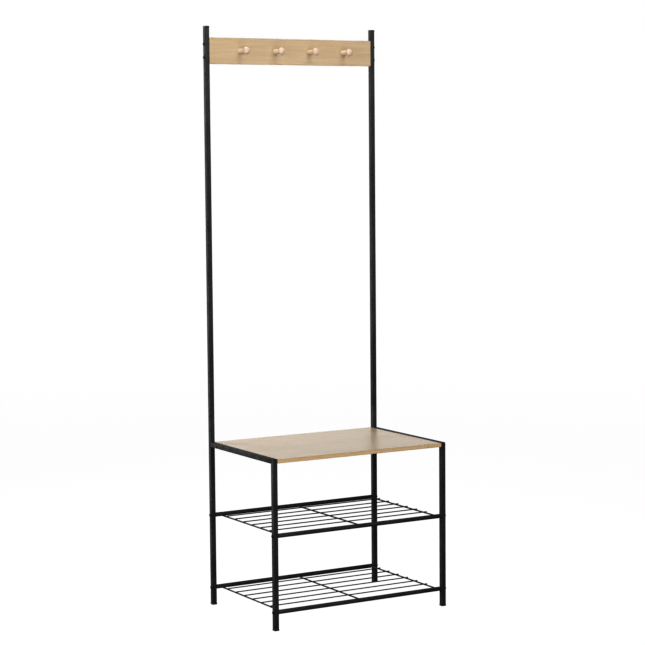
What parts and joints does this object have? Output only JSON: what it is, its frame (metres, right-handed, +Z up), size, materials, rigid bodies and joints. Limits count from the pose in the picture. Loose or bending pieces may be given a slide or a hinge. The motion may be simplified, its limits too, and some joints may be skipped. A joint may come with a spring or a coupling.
{
  "type": "hall tree",
  "caption": "Tall free-standing entryway rack of black square tube with a wood-effect bench seat, wire shoe shelves below and a peg board for coats at the top.",
  "frame": {"origin": "on the floor, at the middle of the rack's footprint", "axes": "+Z up, +X to the rack's right as seen from its front, +Y towards the back: the seat and the pegs face -Y"},
  "size_m": [0.6166, 0.417, 1.8],
  "materials": {
    "black_powder_coat": "satin black powder coat with a fine texture",
    "black_bolt": "satin black painted steel",
    "black_plastic": "moulded, matt",
    "oak_laminate": "pale oak-effect laminate, satin",
    "turned_beech": "turned solid wood, clear satin lacquer",
    "zinc_screw": "zinc plated"
  },
  "bodies": {
    "root": {"hook_board": "oak_laminate", "hook_peg_1": "turned_beech", "hook_peg_2": "turned_beech", "hook_peg_3": "turned_beech", "hook_peg_4": "turned_beech", "left_front_foot_cap": "black_plastic", "left_front_leg": "black_powder_coat", "left_front_lower_shelf_bolt": "black_bolt", "left_front_seat_screw": "black_bolt", "left_front_upper_shelf_bolt": "black_bolt", "left_lower_hook_board_bolt": "black_bolt", "left_lower_joint_bolt_1": "black_bolt", "left_lower_joint_bolt_2": "black_bolt", "left_lower_joint_tube": "black_powder_coat", "left_middle_upright": "black_powder_coat", "left_rear_foot_cap": "black_plastic", "left_rear_leg": "black_powder_coat", "left_rear_lower_shelf_bolt": "black_bolt", "left_rear_seat_screw": "black_bolt", "left_rear_upper_shelf_bolt": "black_bolt", "left_seat_rail": "black_powder_coat", "left_top_cap": "black_plastic", "left_top_upright": "black_powder_coat", "left_upper_hook_board_bolt": "black_bolt", "left_upper_joint_bolt_1": "black_bolt", "left_upper_joint_bolt_2": "black_bolt", "left_upper_joint_tube": "black_powder_coat", "lower_shelf_front_rail": "black_powder_coat", "lower_shelf_rear_rail": "black_powder_coat", "lower_shelf_wires": "black_powder_coat", "peg_screw_1": "zinc_screw", "peg_screw_2": "zinc_screw", "peg_screw_3": "zinc_screw", "peg_screw_4": "zinc_screw", "right_front_foot_cap": "black_plastic", "right_front_leg": "black_powder_coat", "right_front_lower_shelf_bolt": "black_bolt", "right_front_seat_screw": "black_bolt", "right_front_upper_shelf_bolt": "black_bolt", "right_lower_hook_board_bolt": "black_bolt", "right_lower_joint_bolt_1": "black_bolt", "right_lower_joint_bolt_2": "black_bolt", "right_lower_joint_tube": "black_powder_coat", "right_middle_upright": "black_powder_coat", "right_rear_foot_cap": "black_plastic", "right_rear_leg": "black_powder_coat", "right_rear_lower_shelf_bolt": "black_bolt", "right_rear_seat_screw": "black_bolt", "right_rear_upper_shelf_bolt": "black_bolt", "right_seat_rail": "black_powder_coat", "right_top_cap": "black_plastic", "right_top_upright": "black_powder_coat", "right_upper_hook_board_bolt": "black_bolt", "right_upper_joint_bolt_1": "black_bolt", "right_upper_joint_bolt_2": "black_bolt", "right_upper_joint_tube": "black_powder_coat", "seat_board": "oak_laminate", "upper_shelf_front_rail": "black_powder_coat", "upper_shelf_rear_rail": "black_powder_coat", "upper_shelf_wires": "black_powder_coat"}
  },
  "joints": []
}
